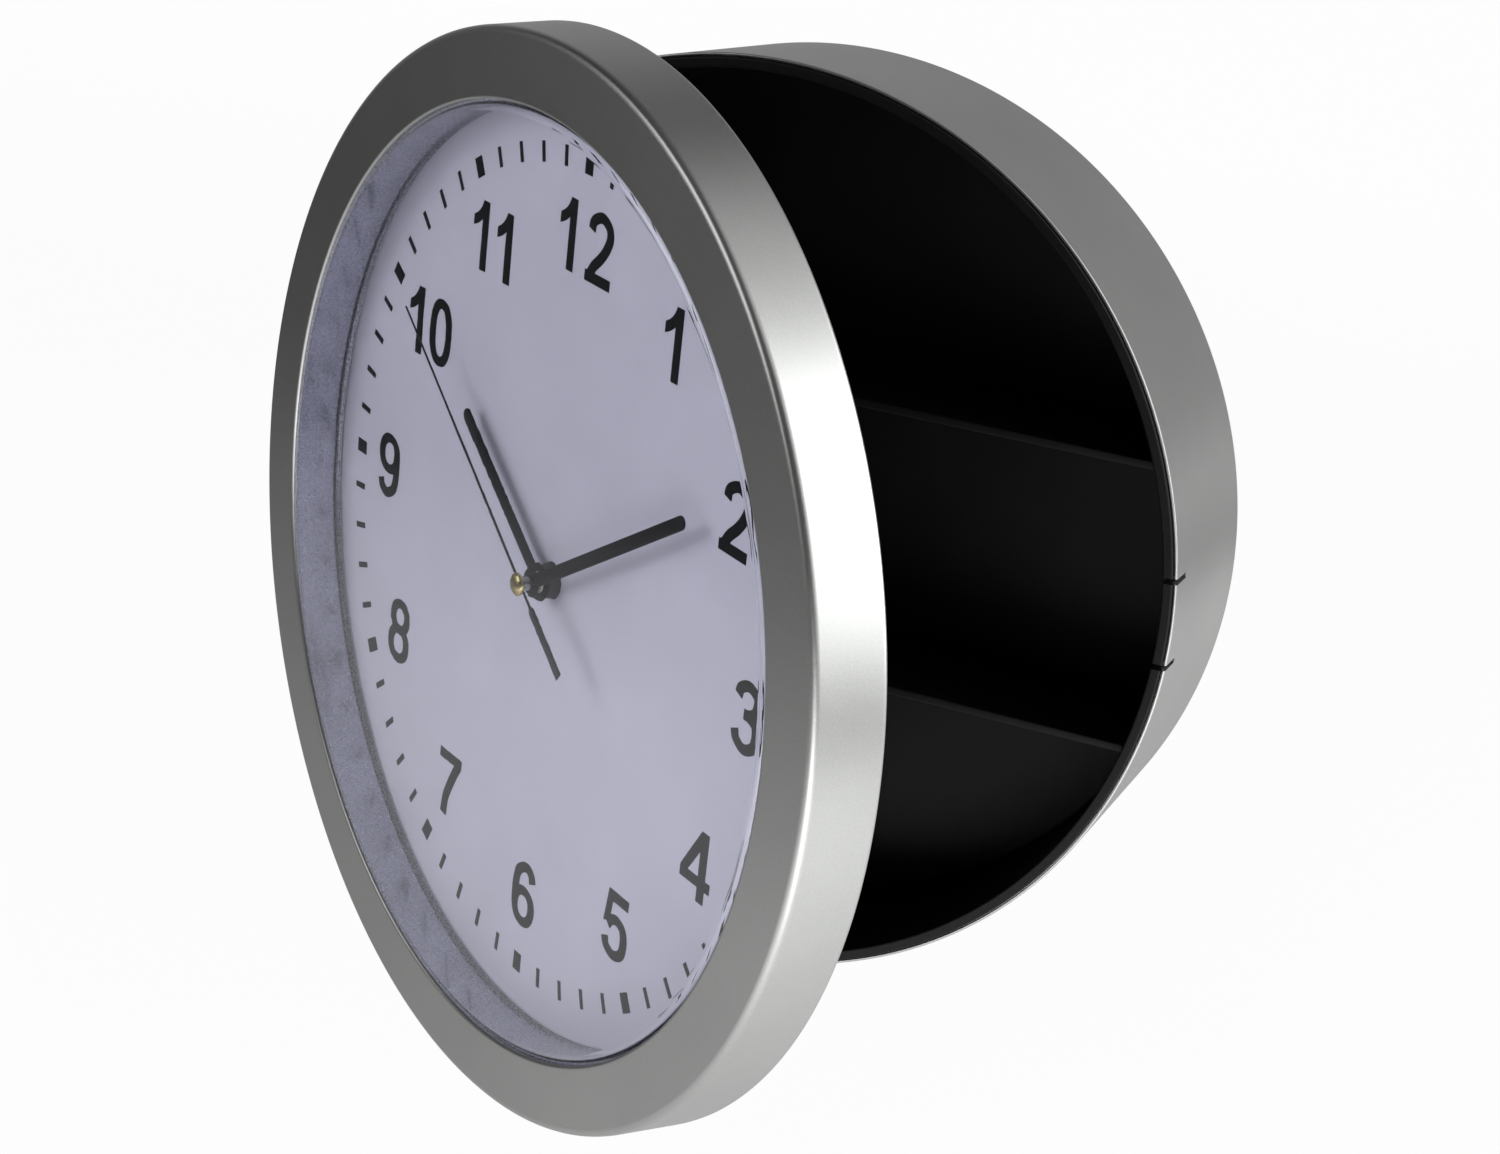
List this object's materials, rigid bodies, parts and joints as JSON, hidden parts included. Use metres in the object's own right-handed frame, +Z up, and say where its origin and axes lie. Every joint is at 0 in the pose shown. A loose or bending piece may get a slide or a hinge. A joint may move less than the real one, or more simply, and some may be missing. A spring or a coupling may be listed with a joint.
{
  "type": "clock diversion safe",
  "caption": "Round wall clock whose dial assembly swings open as the door of a shallow shelved safe.",
  "frame": {"origin": "middle of the flat back face that lies on the wall", "axes": "+Y out of the back into the wall, +Z up, +X to the right as one faces the dial"},
  "size_m": [0.2417, 0.1975, 0.254],
  "materials": {
    "silver_paint": "satin silver paint over moulded plastic",
    "black_plastic": "fine matt",
    "movement_plastic": "matt",
    "clear_plastic": "clear polished",
    "dial_card": "printed pale card",
    "hand_black": "black lacquer",
    "brass": "turned",
    "steel": "zinc plated",
    "gear_white": "moulded",
    "copper_wire": "enamelled copper wire",
    "board_green": "lacquered board",
    "battery_wrap": "printed sleeve with bare steel ends",
    "magnet_grey": "sintered magnet"
  },
  "bodies": {
    "case": {"case_shell": "silver_paint", "inner_tray": "black_plastic", "shelf_upper": "black_plastic", "shelf_lower": "black_plastic", "tray_screw_1": "steel", "tray_screw_2": "steel", "tray_screw_3": "steel", "tray_screw_4": "steel", "hinge_bracket": "black_plastic", "bracket_screw_1": "steel", "bracket_screw_2": "steel"},
    "door": {"bezel": "silver_paint", "lens": "clear_plastic", "dial": "dial_card", "door_back": "black_plastic", "door_screw_1": "steel", "door_screw_2": "steel", "door_screw_3": "steel", "door_screw_4": "steel", "hinge_pin": "steel", "movement_case": "movement_plastic", "movement_cover": "movement_plastic", "train_plate": "movement_plastic", "rear_bridge": "movement_plastic", "stator": "steel", "coil_bobbin": "gear_white", "coil_winding": "copper_wire", "circuit_board": "board_green", "clock_chip": "black_plastic", "crystal_can": "steel", "contact_positive": "steel", "contact_negative": "steel"},
    "battery": {"battery": "battery_wrap"},
    "minute": {"minute_arbor": "brass", "minute_hand": "hand_black"},
    "hour": {"hour_wheel": "gear_white", "hour_hand": "hand_black"},
    "minute_work": {"minute_work_wheel": "gear_white"},
    "set_knob": {"set_knob": "movement_plastic"},
    "second": {"seconds_wheel": "gear_white", "second_hand": "hand_black", "hand_cap": "brass"},
    "third": {"third_wheel": "gear_white"},
    "centre": {"centre_wheel": "gear_white"},
    "step": {"step_wheel": "gear_white"},
    "rotor": {"rotor": "magnet_grey"}
  },
  "joints": [
    {"name": "door_hinge", "type": "hinge", "parent": "case", "child": "door", "pos_m": [-0.12095, -0.0689, 0], "axis": [0, 0, -1], "range_deg": [-30.7, 20]},
    {"name": "battery_slide", "type": "slide", "parent": "door", "child": "battery", "axis": [0.5105, 0.8599, 0], "range_m": [0, 0.018]},
    {"name": "minute_turn", "type": "hinge", "parent": "door", "child": "minute", "pos_m": [-0.00812, -0.11577, 0], "axis": [0.5105, 0.8599, 0], "continuous": true},
    {"name": "hour_turn", "type": "hinge", "parent": "door", "child": "hour", "pos_m": [-0.00812, -0.11577, 0], "axis": [0.5105, 0.8599, 0], "continuous": true},
    {"name": "minute_work_turn", "type": "hinge", "parent": "door", "child": "minute_work", "pos_m": [-0.01297, -0.1129, -0.00205], "axis": [0.5105, 0.8599, 0], "continuous": true},
    {"name": "set_knob_turn", "type": "hinge", "parent": "door", "child": "set_knob", "pos_m": [-0.01781, -0.11002, -0.0041], "axis": [0.5105, 0.8599, 0], "continuous": true},
    {"name": "second_turn", "type": "hinge", "parent": "door", "child": "second", "pos_m": [-0.00812, -0.11577, 0], "axis": [0.5105, 0.8599, 0], "continuous": true},
    {"name": "third_turn", "type": "hinge", "parent": "door", "child": "third", "pos_m": [-0.00081, -0.12011, 0], "axis": [0.5105, 0.8599, 0], "continuous": true},
    {"name": "centre_turn", "type": "hinge", "parent": "door", "child": "centre", "pos_m": [-0.00812, -0.11577, 0], "axis": [0.5105, 0.8599, 0], "continuous": true},
    {"name": "step_turn", "type": "hinge", "parent": "door", "child": "step", "pos_m": [-0.00812, -0.11577, 0.006], "axis": [0.5105, 0.8599, 0], "continuous": true},
    {"name": "rotor_turn", "type": "hinge", "parent": "door", "child": "rotor", "pos_m": [-0.00812, -0.11577, 0.0116], "axis": [0.5105, 0.8599, 0], "continuous": true}
  ],
  "couplings": [
    {"joint": "hour_turn", "follows": "minute_turn", "ratio": 0.083333},
    {"joint": "minute_work_turn", "follows": "minute_turn", "ratio": -0.33333},
    {"joint": "set_knob_turn", "follows": "minute_turn", "ratio": 1},
    {"joint": "third_turn", "follows": "second_turn", "ratio": -0.13333},
    {"joint": "centre_turn", "follows": "second_turn", "ratio": 0.016667},
    {"joint": "step_turn", "follows": "second_turn", "ratio": -5},
    {"joint": "rotor_turn", "follows": "second_turn", "ratio": 30}
  ]
}
